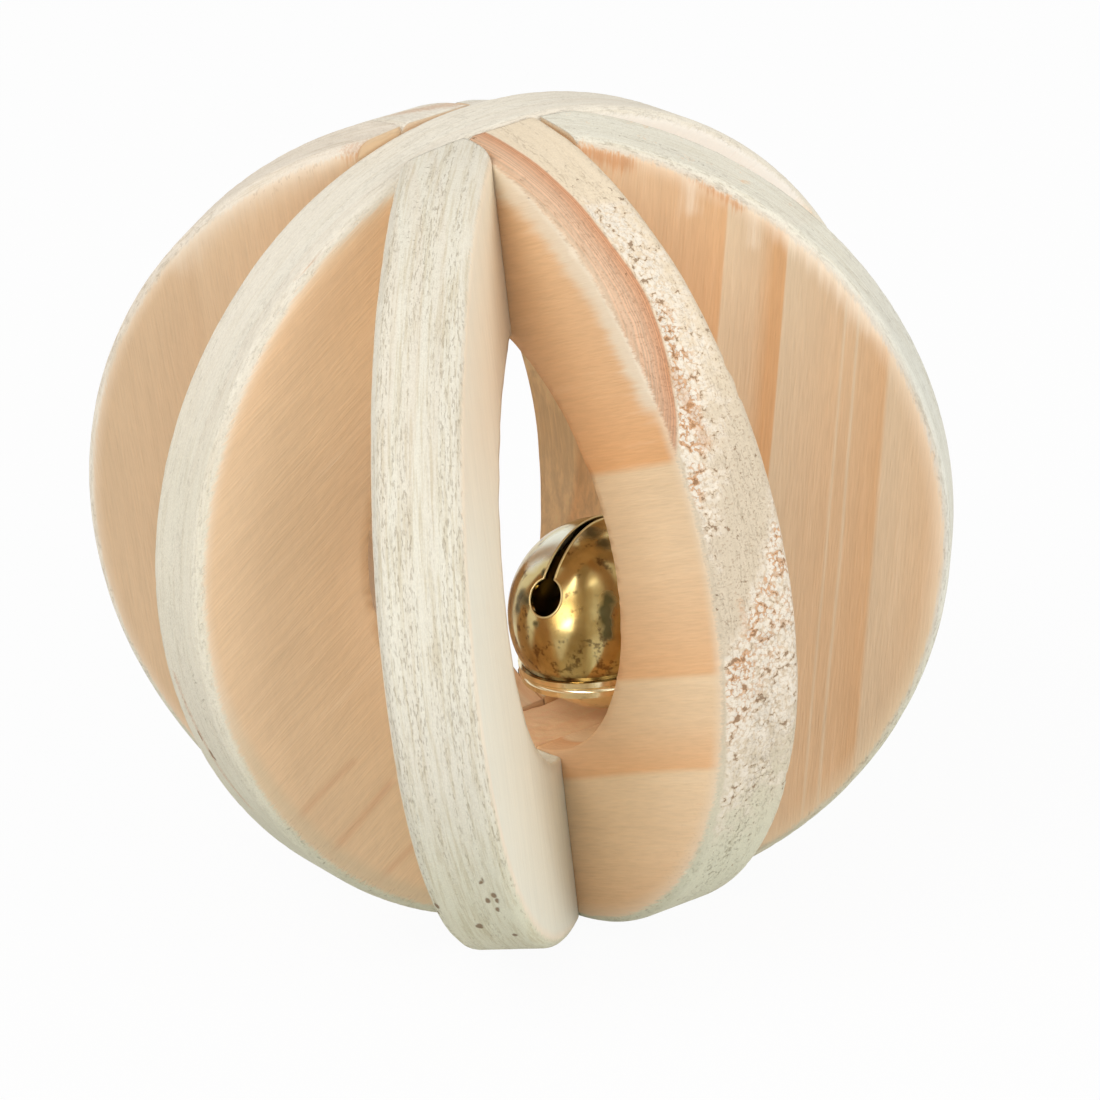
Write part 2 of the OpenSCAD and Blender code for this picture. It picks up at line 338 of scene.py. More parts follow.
def section(size, n_side):
    """The closed outline of a ring's section as (radius, across), and its normals, counted from
    the hole's wall: wall, face on the + side, rounded rim, face on the - side. The wall and the
    rim have n_side steps each and each face FACE_STEPS."""
    hole, rim, h, e = size.hole_d / 2, size.ball_d / 2, size.plate_t / 2, size.edge_r
    wall = np.concatenate([[-h + NICK], np.linspace(-h + 2 * NICK, h - 2 * NICK, n_side - 1),
                           [h - NICK]])
    s = np.linspace(0.0, 1.0, FACE_STEPS + 1)
    face = hole + NICK + (rim - e - hole - NICK) * (0.75 * s + 0.25 * s ** 0.5)
    q = np.linspace(math.pi / 2, 0.0, CORNER_STEPS + 1)[1:]
    corner = np.stack([rim - e + e * np.cos(q), h - e + e * np.sin(q)], axis=1)
    flat = np.linspace(h - e, e - h, n_side - 2 * CORNER_STEPS + 1)[1:-1]

    def line(radius, across):
        return np.stack(np.broadcast_arrays(radius, across), axis=1)

    outline = np.concatenate([line(hole, wall), line(face, h), corner, line(rim, flat),
                              corner[::-1] * [1, -1], line(face[::-1], -h)])
    return outline, unit(along(outline))[:, ::-1] * [-1, 1]


def swept(radial, across, sweep):
    """Section points or directions (radial, across) turned to the angles of sweep, as (n, 3)."""
    return np.stack([radial * np.cos(sweep), np.broadcast_to(across[:, None], sweep.shape),
                     radial * np.sin(sweep)], axis=2).reshape(-1, 3)


def ring_surface(name, spec, size):
    """A sawn ring. Point (k, j) has section point (r_k, v_k) and sweep angle a, and lies at
    u = r cos a outward, v across and z = r sin a up from the ring's centre. A whole ring sweeps
    all round; a half ring sweeps from -A to A with cos A = (u_min(v) - out) / r, where u_min is
    the sawn face, so its ends lie on its neighbours. Where the hole, of radius h, is centred s
    further out, its wall is at s cos a + sqrt(h^2 - s^2 sin^2 a), and r runs linearly from there
    to the rim. Then wear() says how much is taken off along the normals."""
    steps, n_side = spec.get("grid", (310, 28))
    outline, normal = section(size, n_side)
    r, v = outline.T
    whole = not spec["cuts"]
    if whole:
        sweep = np.tile(np.linspace(-math.pi, math.pi, steps, endpoint=False), (len(r), 1))
    else:
        limit = np.arccos(np.clip((sawn_at(spec, size, v) - spec["out"]) / r, -1.0, 1.0))
        sweep = limit[:, None] * np.linspace(-1.0, 1.0, steps)
    hole, rim, off = size.hole_d / 2, size.ball_d / 2, spec.get("hole_out", 0.0)
    wall = off * np.cos(sweep) + np.sqrt(hole ** 2 - (off * np.sin(sweep)) ** 2)
    own = swept(rim - (rim - r[:, None]) * (rim - wall) / (rim - hole), v, sweep)
    out_n = swept(normal[:, :1], normal[:, 1], sweep)
    taken, data = wear(spec, size, own, out_n, np.repeat(rim - r, steps))
    data["rims"] = np.stack([(sweep * rim).ravel(), own[:, 1], 0.0 * own[:, 1]], axis=1)
    if not whole:  # nothing is taken off where the sawn ends meet their neighbours
        taken *= np.tile(1.0 - smooth(0.985, 1.0, np.abs(np.linspace(-1, 1, steps))), len(r))
    own = own - out_n * taken[:, None]
    data["up"] = own[:, 2] / rim
    for kind in MARK_KINDS:
        data[kind] = np.zeros(len(own))
    for kind, width, strength, line in MARKS.get(name, ()):
        data[kind] = np.maximum(data[kind], strength * near_line(own, line, width))

    faces = quads(len(r), steps, whole)
    if not whole:
        ends, end_faces = sawn_ends(spec, size, outline, len(own), steps, n_side)
        own, faces = np.concatenate([own, ends]), np.concatenate([faces, end_faces])
        more = dict(depth=np.full(len(ends), END_DEPTH), up=ends[:, 2] / rim)
        data = {key: np.concatenate([a, more.get(key, np.repeat(a[:1], len(ends), axis=0))])
                for key, a in data.items()}
    outward, across = directions(spec["az"])
    placed = ((own[:, :1] + spec["out"]) * outward + own[:, 2:] * np.array([0.0, 0.0, 1.0])
              + (own[:, 1:2] + spec.get("side", 0.0)) * across + axis_centre())
    return make_object(name + "_wood", placed, faces.tolist(), data.items())


def wear(spec, size, own, out_n, depth):
    """How the wood was worked: what is taken off the sawn form at each point, and the values that
    its material reads. Edges are worn and chipped, the rim is fuzzy, the hole's edge is ragged,
    and crumbly end grain is cracked, all by noise() along and across the grain."""
    rough, seed = spec["look"]["rough"], spec["look"]["seed"]
    grain = math.radians(spec["grain"])
    c, s = math.cos(grain), math.sin(grain)
    cross, v, up = own[:, 2] * c - own[:, 0] * s, own[:, 1], own[:, 2] / (size.ball_d / 2)
    board = np.stack([own[:, 0] * c + own[:, 2] * s, cross, v], axis=1)

    def grainy(lengthwise, crosswise, number):
        return noise(board * [lengthwise, crosswise, crosswise], seed + number)

    growth = (np.hypot(cross - spec["pith"][0], v - spec["pith"][1])
              + 0.30 * grainy(0.05, 0.16, 9) + 0.06 * grainy(0.10, 0.9, 10))
    end = (out_n[:, 0] * c + out_n[:, 2] * s) ** 2
    on_rim = smooth(1.3 * size.edge_r, 0.0, depth)
    corner = on_rim * smooth(0.3, 0.75, np.abs(out_n[:, 1]))
    arc = own * [0.14, 0.02, 0.14]
    worn = 0.04 + 0.10 * noise(arc, seed) + 0.05 * noise(arc * 3.1, seed + 1)
    chips = smooth(0.4, 0.8, grainy(0.5, 0.9, 2)) * 0.25 * rough
    fuzz = 0.03 * grainy(0.35, 3.2, 3) + 0.05 * end * rough * grainy(1.2, 2.1, 4)
    ragged = (smooth(0.5, 0.0, (size.ball_d - size.hole_d) / 2 - depth)
              * (0.07 + 0.22 * grainy(1.0, 2.3, 6) * end + 0.06 * grainy(0.5, 1.1, 7)))
    crumb, crack, tear = np.zeros((3, len(own)))
    if "crumbly" in spec:
        crumb = (np.interp(growth, *zip(*spec["crumbly"])) * smooth(0.12, 0.45, end) * on_rim
                 * smooth(0.93, 0.87, up))
        place = board * [0.7, 1.5, 1.5]
        place += 0.25 * noise(place * 2.3, seed)[:, None]
        crack = ((1.0 - smooth(0.03, 0.26, crumbs(place, seed + 11)))
                 * smooth(-0.10, 0.35, grainy(0.4, 0.55, 12)) * crumb)
        tear = (np.interp(growth, *zip(*spec["torn"])) * on_rim * smooth(0.86, 0.60, up)
                * smooth(0.10, 0.35, end))
    taken = (corner * np.clip(worn + chips, 0.0, 0.5) + on_rim * np.clip(fuzz, 0.0, 0.2)
             + np.clip(ragged, 0.0, 0.25) + 0.14 * crack)
    return np.clip(taken, 0.0, 0.8), dict(board=board, growth=growth, depth=depth, end=end,
                                          crumb=crumb, tear=tear)


def sawn_at(spec, size, v):
    """How far out from the common axis a half ring's sawn end lies, at places v across it."""
    least = -np.inf
    for cut_az, cut_side, sign in spec["cuts"]:
        turn = math.radians(spec["az"] - cut_az)
        across = cut_side - (v + spec.get("side", 0.0)) * math.cos(turn)
        least = np.maximum(least, (size.plate_t / 2 * sign + across) / math.sin(turn))
    return least


def sawn_ends(spec, size, outline, count, steps, n_side):
    """The points and faces of both ends of a half ring, numbered from count: a grid of straight
    lines from the hole's wall to the rim, laid on the sawn faces. One triangle as wide as NICK
    stays open at each corner of the hole."""
    edge = np.zeros((n_side + 1, FACE_STEPS + 1), dtype=np.int64)
    edge[:, 0] = np.arange(n_side + 1)
    edge[:, -1] = np.arange(n_side + 1)[::-1] + n_side + 1 + FACE_STEPS
    edge[-1, 1:] = n_side + 1 + np.arange(1, FACE_STEPS + 1)
    edge[0, 1:] = len(outline) - 1 - np.arange(1, FACE_STEPS + 1)
    s = np.linspace(0, 1, FACE_STEPS + 1)[1:-1, None]
    at_hole, at_rim = outline[edge[1:-1, :1]], outline[edge[1:-1, -1:]]
    radial, v = np.moveaxis(at_hole * (1 - s) + at_rim * s, 2, 0)
    u = sawn_at(spec, size, v) - spec["out"]
    z = np.sqrt(np.maximum(radial ** 2 - u ** 2, 0.0))
    points, faces = [], []
    for sign, column in ((-1, 0), (1, steps - 1)):
        grid = edge * steps + column
        grid[1:-1, 1:-1] = count + np.arange(v.size).reshape(v.shape)
        count += v.size
        points.append(np.stack([u, v, sign * z], axis=2).reshape(-1, 3))
        q = np.stack([grid[:-1, :-1], grid[1:, :-1], grid[1:, 1:], grid[:-1, 1:]], axis=2)
        faces.append(q.reshape(-1, 4)[:, ::-sign])
    return np.concatenate(points), np.concatenate(faces)


def axis_centre():
    """The middle of the rings' common axis, in the row frame."""
    spec = RINGS["through_ring"]
    return np.mean(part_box("through_ring"), axis=0) / MM - spec["out"] * directions(spec["az"])[0]


def bell_frame(size):
    """How the bell lies: its rotation, and its middle in the row frame."""
    turned = np.eye(3)
    for axis, degrees in BELL_TURNS:
        turned = np.array(Matrix.Rotation(math.radians(degrees), 3, axis)) @ turned
    middle = np.mean(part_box("bell_pellet"), axis=0) / MM
    middle[2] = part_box("bell_shell")[1][2] / MM - size.bell_d / 2
    return turned, middle


def slot_lip(size):
    """The turned-up edge of the bell's slot: a tube along the slot's outline. In the bell's own
    frame, with its slot along Y and its top at Z, the outline lies on the sphere of radius R.
    Along the slot it is (x, p sin t, p cos t) with p = sqrt(R^2 - x^2) and x the half width,
    which grows evenly with |sin t|; round the holes it is a circle of radius k."""
    ball, angle, hole = size.bell_d / 2, size.keyhole_angle, size.keyhole_d / 2
    mouth = size.slot_mouth / 2
    reach = angle - math.asin(math.sqrt(hole ** 2 - mouth ** 2) / ball)
    t = np.linspace(-reach, reach, LIP_STEPS)
    x = size.slot_w / 2 + (mouth - size.slot_w / 2) * np.abs(np.sin(t)) / math.sin(angle)
    p = np.sqrt(ball ** 2 - x ** 2)
    side = np.stack([x, p * np.sin(t), p * np.cos(t)], axis=1)
    start = math.asin(mouth / hole)
    turn = np.linspace(start, 2 * math.pi - start, LIP_STEPS)[1:-1]
    out = math.sqrt(ball ** 2 - hole ** 2)
    ring = np.stack([hole * np.sin(turn),
                     out * math.sin(angle) - hole * np.cos(turn) * math.cos(angle),
                     out * math.cos(angle) + hole * np.cos(turn) * math.sin(angle)], axis=1)
    line = np.concatenate([side, ring, side[::-1] * [-1, 1, 1], ring[::-1] * [1, -1, 1]])
    up = unit(line)
    across = unit(np.cross(up, along(line)))
    q = np.linspace(0, 2 * math.pi, TUBE_SIDES, endpoint=False)[:, None]
    points = line[:, None] + LIP_TUBE * (np.cos(q) * up[:, None] + np.sin(q) * across[:, None])
    turned, middle = bell_frame(size)
    return make_object("bell_slot_lip", points.reshape(-1, 3) @ turned.T + middle,
                       quads(len(line), TUBE_SIDES).tolist())


# ---------------- materials
def linear(colour):
    """A display colour as the linear colour that shaders take."""
    return tuple(c / 12.92 if c <= 0.04045 else ((c + 0.055) / 1.055) ** 2.4
                 for c in colour) + (1.0,)


def inks(colours):
    """All colour settings as linear colours."""
    return SimpleNamespace(**{key: linear(getattr(colours, key))
                              for key in BallColours.__annotations__})


class Value:
    """A node's output. Arithmetic on it adds the nodes that work it out."""

    def __init__(self, graph, socket):
        self.graph, self.socket = graph, socket

    def __add__(self, other):
        return self.graph.math("ADD", self, other)

    def __sub__(self, other):
        return self.graph.math("SUBTRACT", self, other)

    def __rsub__(self, other):
        return self.graph.math("SUBTRACT", other, self)

    def __mul__(self, other):
        return self.graph.math("MULTIPLY", self, other)


class Graph:
    """Shorthand for the nodes of a material or a world. Its methods return Values."""

    def __init__(self, owner):
        owner.use_nodes = True
        self.owner, self.tree = owner, owner.node_tree
        self.tree.nodes.clear()

    def add(self, kind, inputs=(), output=0, **settings):
        """Adds a node. Its inputs, in order or by name, are linked to Values or set to
        constants."""
        node = self.tree.nodes.new("ShaderNode" + kind)
        for key, value in settings.items():
            setattr(node, key, value)
        for key, value in inputs.items() if isinstance(inputs, dict) else enumerate(inputs):
            socket = node.inputs[key]
            if isinstance(value, Value):
                self.tree.links.new(value.socket, socket)
            else:
                socket.default_value = value[:3] if socket.type == "VECTOR" else value
        return Value(self, node.outputs[output]) if node.outputs else None

    def attribute(self, name, output="Fac"):
        """A value stored on the mesh."""
        return self.add("Attribute", output=output, attribute_name=name)

    def math(self, operation, a, b, clamp=False):
        """One arithmetic step."""
        return self.add("Math", (a, b), operation=operation, use_clamp=clamp)

    def vector(self, operation, *inputs, output=0):
        """One step of vector arithmetic."""
        return self.add("VectorMath", inputs, output, operation=operation)

    def scaled(self, vector, factors):
        """A vector or colour times another."""
        return self.vector("MULTIPLY", vector, factors)

    def noise(self, vector, scale, detail=2.0, roughness=0.5, output="Fac"):
        """Noise about 0.5."""
        return self.add("TexNoise", {"Vector": vector, "Scale": scale, "Detail": detail,
                                     "Roughness": roughness}, output)

    def fibres(self, vector, stretch, scale, detail=2.0, roughness=0.5):
        """Noise about 0.5, drawn out along X by 1 / stretch."""
        return self.noise(self.scaled(vector, (stretch, 1.0, 1.0)), scale, detail, roughness)

    def cells(self, vector, scale, dimensions):
        """The distance to the nearest of scattered points, in space or in the XY plane."""
        return self.add("TexVoronoi", {"Vector": vector, "Scale": scale}, "Distance",
                        voronoi_dimensions=dimensions)

    def step(self, value, low, high):
        """0 at low, 1 at high, smooth between; low may be the greater."""
        flip = float(low > high)
        return self.add("MapRange", (value, min(low, high), max(low, high), flip, 1.0 - flip),
                        interpolation_type="SMOOTHSTEP")

    def curve(self, value, stops):
        """A value through (position, level) stops, straight between them."""
        first, last = stops[0][0], stops[-1][0]
        grey = self.add("ValToRGB", ((value - first) * (1.0 / (last - first)),))
        elements = grey.socket.node.color_ramp.elements
        while len(elements) < len(stops):
            elements.new(0.5)
        for element, (place, level) in zip(elements, stops):
            element.position = (place - first) / (last - first)
            element.color = (level, level, level, 1.0)
        return grey

    def mix(self, factor, a, b):
        """Colour a where factor is 0 and b where it is 1."""
        return self.add("Mix", {0: factor, 6: a, 7: b}, 2, data_type="RGBA")

    def tinted(self, colour, value, low, high):
        """A colour times a grey that runs from low to high as value runs from 0 to 1."""
        return self.add("VectorMath", {0: colour, "Scale": value * (high - low) + low},
                        operation="SCALE")

    def varied(self, colour, value, amount):
        """A colour made darker and brighter by an amount as value runs from 0 to 1."""
        return self.tinted(colour, value, 1.0 - amount, 1.0 + amount)

    def bump(self, height, distance, strength):
        """A bumped normal."""
        return self.add("Bump", {"Height": height, "Distance": distance, "Strength": strength})

    def straight_rays(self):
        """1 for what the camera sees, directly, through glass or in a mirror, else 0."""
        seen = self.add("LightPath", output="Is Camera Ray")
        for kind in ("Is Glossy Ray", "Is Transmission Ray"):
            seen = self.math("MAXIMUM", seen, self.add("LightPath", output=kind))
        return seen

    def finish(self, **inputs):
        """Adds the surface shader and returns the material."""
        self.add("OutputMaterial", (self.add("BsdfPrincipled", {
            key.replace("_", " "): value for key, value in inputs.items()}),))
        return self.owner


def wood_material(name, spec, size, ink):
    """Bare softwood. Its tone follows the growth rings, fibres are noise drawn out along the
    grain, the sanded rim is paler, and soft early wood has crumbled where it is cut across."""
    look = {**LOOK, **spec["look"]}
    g = Graph(bpy.data.materials.new(name))
    seed, wall = look["seed"], (size.ball_d - size.hole_d) / 2
    shift = (seed * 7.3, seed * 3.1, seed * 5.7)
    board = g.vector("ADD", g.attribute("board", "Vector"), shift)
    lengthwise = g.vector("ADD", g.attribute("rims", "Vector"), shift)
    growth, depth, end, up = (g.attribute(key) for key in ("growth", "depth", "end", "up"))
    resin, pale, orange, speck, pin = (g.attribute(kind) for kind in MARK_KINDS)
    fibre = g.fibres(board, 0.07, 1.6, 4.0, 0.6)
    fine = g.fibres(board, 0.07, 7.0)
    broad = g.fibres(board, 0.5, 0.09)

    # the planed face, and the wall of the hole
    face = g.mix(g.curve(growth, spec["growth"]) * look["contrast"], ink.face_light, ink.face_dark)
    for value, amount in ((fibre, 0.09), (fine, 0.10), (broad, 0.10)):
        face = g.varied(face, value, amount)
    if look["pale"]:
        face = g.mix(look["pale"], face, g.tinted(ink.rim_light, fibre, 0.86, 1.0))
    if look["saw"]:
        turned = g.add("VectorRotate", {"Vector": board, "Angle": SAW_ANGLE},
                       rotation_type="Z_AXIS")
        saw = g.noise(g.scaled(turned, (0.10, 1.0, 0.1)), 2.6)
        face = g.varied(face, saw, 0.08 * look["saw"])
    face = g.mix(resin * (fibre * 0.9 + 0.15), face, ink.streak)
    # painted light on the hole's wall: up to 1.16 times brighter, most where no streaks are drawn
    # and all over low down, to lift the shade in the hole; the streaks themselves are grain
    streaks = g.step(g.fibres(board, 0.05, 2.2, 3.0, 0.6), 0.34, 0.66)
    streaks = (streaks * 0.75 + 0.25) * g.step(up, -0.60, -0.25)
    face = g.mix(g.step(depth, wall - 0.35, wall - 0.05), face,
                 g.tinted(g.scaled(face, (1.0, 0.995, 0.975)), streaks, 1.16, 0.90))
    # painted light: the face's brightness follows the distance from the pith (shade)
    if "shade" in spec:
        face = g.tinted(face, g.curve(growth, spec["shade"]), 0.0, 1.0)
    # painted light: the face is brighter high up (lift), and brighter or darker from rim to hole
    # (inner)
    face = g.tinted(g.scaled(face, look["tone"]), g.step(up, 0.1, 0.85), 1.0, 1.0 + look["lift"])
    if look["inner"]:
        face = g.tinted(face, g.step(depth, 1.0, wall - 0.25), *look["inner"])
    if look["low"]:
        face = g.mix(g.step(up, 0.55, 0.20), face, g.scaled(face, look["low"]))

    # the sanded rim: fine lines and open fibres along it, late wood cut across
    hairs = g.fibres(lengthwise, 0.05, 4.0, 4.0, 0.7)
    rim = g.mix(g.step(hairs, 0.44, 0.68) * look["stripes"], ink.rim_light, ink.rim_dark)
    rim = g.varied(rim, broad, 0.08)
    rim = g.varied(rim, g.fibres(board, 0.5, 9.0, 2.0, 0.6), 0.16)
    latewood = ink.latewood
    if look["lines"]:
        lines = g.noise(g.add("CombineXYZ", (growth * 4.6,)), 1.3, 2.0, 0.6)
        latewood = g.mix(g.step(lines, 0.40, 0.58), g.tinted(latewood, fibre, 1.15, 1.45),
                         g.tinted(latewood, fibre, 0.66, 0.96))
    fading = g.step(up, 0.25, 0.60) * (0.6 * look["late"]) + 0.4 * look["late"]
    grains = g.scaled(board, (0.35, 1.0, 1.0))
    dots = g.noise(grains, 6.2, 1.0)
    pits = g.step(dots, 0.60, 0.70) * (g.step(end, 0.25, 0.75) * look["rough"])
    rim = g.mix(pits * 0.30, rim, ink.dot)
    stripe = g.curve(growth, spec.get("rim_growth", spec["growth"]))
    rim = g.mix(stripe * fading, rim, latewood)
    rows = g.step(g.fibres(lengthwise, 0.04, 1.1), 0.40, 0.60)
    dash = g.step(g.fibres(lengthwise, 0.20, 8.0, 2.0, 0.6), 0.56, 0.64) * rows
    rim = g.mix(dash * (0.50 * look["dashes"]), rim, ink.dash)

    # dirt and pinholes low on the rim, and its tint, with painted shade that makes the rims darker
    # and greener low down
    rough_noise = g.fibres(board, 0.4, 3.6, 3.0, 0.6)
    specks = g.step(speck + (rough_noise - 0.55) * 2.0, 0.45, 0.80)
    rim = g.mix(specks * 0.55, rim, ink.grime)
    holes = g.cells(g.scaled(lengthwise, (0.5, 1.0, 1.0)), 1.2, "2D")
    holes = g.step(holes, 0.30, 0.14) * g.step(pin, 0.25, 0.50)
    rim = g.mix(holes * 0.85, rim, ink.pit)
    # painted shade: the rims turn darker and greener towards the bottom
    tint = g.mix(g.step(up, -0.10, -0.75), (*look["rim"], 1.0), ink.rim_low_shade)
    if look["crown"]:
        tint = g.mix(g.step(up, 0.3, 0.8), tint, (*look["crown"], 1.0))
    rim = g.scaled(rim, tint)
    if look["corner"]:
        rim = g.mix(g.step(depth, 0.02, 0.5), rim, g.scaled(rim, look["corner"]))
    dents = [pits, dash, specks, holes]
    if "crumbly" in spec:
        rim, more = crumbled(g, rim, board, grains, ink)
        dents += more

    # pale margin beside the rim, torn where the fibres end there
    torn = g.fibres(board, 0.10, 0.6, 4.0, 0.70)
    reach = depth + (torn - 0.5) * (end * (2.0 * look["jag"]) + 0.25)
    margin = g.step(reach - g.step(up, 0.1, -0.5) * look["bloom"], look["margin"] + 1.0, 0.3)
    beside = ink.margin
    if look["bloom"]:
        beside = g.mix(g.step(up, -0.05, -0.40), beside, ink.margin_low)
    face = g.mix(margin * look["glow"], face, beside)
    patch = g.step(pale + (fibre - 0.5) * look["comb"], 0.05, 0.95)
    face = g.mix(patch * 0.9, face, ink.bleached if look["bleached"] else ink.pale)
    face = g.mix(speck * g.step(dots, 0.58, 0.66) * 0.6, face, ink.pit)
    edge = g.step(reach + (fine - 0.5) * 0.6, 0.80, 0.35)
    burr = g.step(orange + (fine - 0.5) * 1.4, 0.15, 1.0) * (0.8 - edge * look["clean"])
    colour = g.mix(burr, g.mix(edge, face, rim), g.tinted(ink.torn, fibre, 0.70, 1.20))

    height = fine * 0.5 + fibre * 0.5
    for dent in dents:
        height = height - dent * edge
    return g.finish(Base_Color=colour, Roughness=0.72, Specular_IOR_Level=0.25,
                    Normal=g.bump(height, 0.00012, 0.55))


def crumbled(g, rim, board, grains, ink):
    """Soft early wood cut across: chalky grains, dark dots where they meet, and orange tears
    beside the late wood. Returns the rim's colour and the dents."""
    crumb, tear = g.attribute("crumb"), g.attribute("tear")
    place = g.scaled(board, (0.55, 1.0, 1.0))
    bent = g.vector("MULTIPLY_ADD", g.noise(place, 3.4, output="Color"), (0.55, 0.55, 0.55), place)
    far = g.cells(bent, 3.0, "3D")
    mottle, loose = g.noise(grains, 2.6), g.noise(grains, 0.9)
    soft = g.step(crumb + (loose - 0.5) * 1.2, 0.30, 0.90) * g.step(crumb, 0.02, 0.15)
    rim = g.mix(soft * 0.40, rim, ink.bruised)
    rim = g.mix(g.step(far, 0.74, 0.40) * soft * 0.80, rim, g.varied(ink.chalk, mottle, 0.10))
    crack = g.step(far, 0.42, 0.60) * (g.step(tear, 0.30, 0.80) * g.step(loose, 0.42, 0.52))
    rim = g.mix(crack * 0.80, rim, g.varied(ink.torn, mottle, 0.30))
    limit = 0.92 - g.step(loose, 0.30, 0.62) * (crumb * 0.22)
    pit = g.step(far - limit, 0.0, 0.07)
    return g.mix(pit * 0.70, rim, ink.pit), [crack, pit * 1.6]


def brass_material(name, colour, ink, size, wear):
    """Thin bright brass: smooth metal with dents and cloudy tarnish, dark green reflections and a
    pale sheen painted into its colour at the listed patches, brown specks that grow denser lower
    down, and a band on the worn shell that is darker towards the seam."""
    g = Graph(bpy.data.materials.new(name))
    place = g.add("TexCoord", output="Object")
    wave = g.vector("ADD", g.noise(place, 700.0, output="Color"), (-0.5, -0.5, -0.5))
    bent = g.vector("MULTIPLY_ADD", wave, (0.0012, 0.0012, 0.0014), place)
    clouds = g.noise(place, 240.0, 3.0, 0.6)
    turned, middle = bell_frame(size)
    height = g.vector("DOT_PRODUCT", g.vector("ADD", place, (-middle * MM).tolist()),
                      turned[:, 2].tolist(), output="Value")

    def patched(spots):
        most = 0.0
        for centre, radius in spots:
            gap = g.vector("DISTANCE", bent, [value * MM for value in centre], output="Value")
            near = g.step(gap, 1.50 * radius * MM, 0.20 * radius * MM)
            most = g.math("ADD", near, most, clamp=True)
        return most

    colour = g.mix(g.step(clouds, 0.42, 0.68) * wear, colour, ink.tarnish)
    green, pale = patched(BELL_DARK_REFLECTIONS), patched(BELL_SHEEN)
    # painted dark green reflections at the listed patches
    colour = g.mix(green * 0.80, colour, ink.green)
    specks = g.noise(place, 1100.0, 3.0, 0.65) + g.step(height, 0.0055, -0.0015) * 0.06
    colour = g.mix(g.step(specks, 0.57, 0.70) * (0.70 * wear), colour, ink.speck)
    # painted pale sheen at the top left, standing for the white studio reflected there
    colour = g.mix(pale * 0.85, colour, ink.worn)
    # the worn shell turns darker, towards speck brown, from 1.8 mm below its middle down to the
    # seam
    if wear > 0.5:
        colour = g.mix(g.step(height, -0.0018, -0.0024) * 0.75, colour, ink.speck)
    rough = g.step(clouds, 0.40, 0.70) * (0.16 * wear) + (0.22 - 0.10 * wear)
    return g.finish(Base_Color=colour, Metallic=1.0, Roughness=pale * 0.16 + (green * 0.2 + rough),
                    Normal=g.bump(g.noise(place, 150.0), 0.0006, 0.35))


def plain_metal(name, colour, roughness):
    """Clean metal of one colour, with fine scratches in its polish."""
    g = Graph(bpy.data.materials.new(name))
    place = g.add("TexCoord", output="Object")
    scratches = g.noise(g.scaled(place, (1.0, 1.0, 6.0)), 600.0)
    return g.finish(Base_Color=g.tinted(colour, scratches, 0.92, 1.05), Metallic=1.0,
                    Roughness=scratches * 0.15 + roughness)


def floor_material(colour):
    """A pale floor that is seen nearly white, with a soft shadow."""
    g = Graph(bpy.data.materials.new("floor_pale"))
    matt, glow = g.add("BsdfDiffuse", (colour,)), g.add("Emission", {"Strength": 1.0})
    g.add("OutputMaterial", (g.add("MixShader", (g.straight_rays() * 0.95, matt, glow)),))
    return g.owner


# ---------------- settings
def length(name, description, default):
    """A length in millimetres."""
    return FloatProperty(name=name, description=description + ", in mm", default=default, min=0.0)


def power(name, lamp, default):
    """The power of a lamp."""
    return FloatProperty(name=name, description="Power of the " + lamp, default=default,
                         subtype="POWER")


def paint(name, description, red, green, blue):
    """A colour as it shows on a display, from three numbers in 0..255."""
    return FloatVectorProperty(name=name, description=description, subtype="COLOR_GAMMA", size=3,
                               min=0.0, max=1.0, default=(red / 255, green / 255, blue / 255))


class BallSizes(bpy.types.PropertyGroup):
    """Sizes of the rings and of the bell."""

    ball_d: length("Ball", "Diameter that every ring is sawn to", 60.0)
    plate_t: length("Board", "Thickness of the boards", 6.3)
    hole_d: length("Hole", "Hole through every ring", 33.5)
    edge_r: length("Sanded edge", "Radius of the outer edges", 0.9)
    bell_d: length("Bell", "Diameter of the bell", 14.0)
    slot_w: length("Slot", "Width of the bell's slot at its top", 0.8)
    slot_mouth: length("Slot mouth", "Width of the slot at the round holes", 1.05)
    keyhole_d: length("Round holes", "Hole at each end of the slot", 2.9)
    keyhole_angle: FloatProperty(name="Hole angle", subtype="ANGLE", default=math.radians(58),
                                 description="From the top of the bell to each round hole")


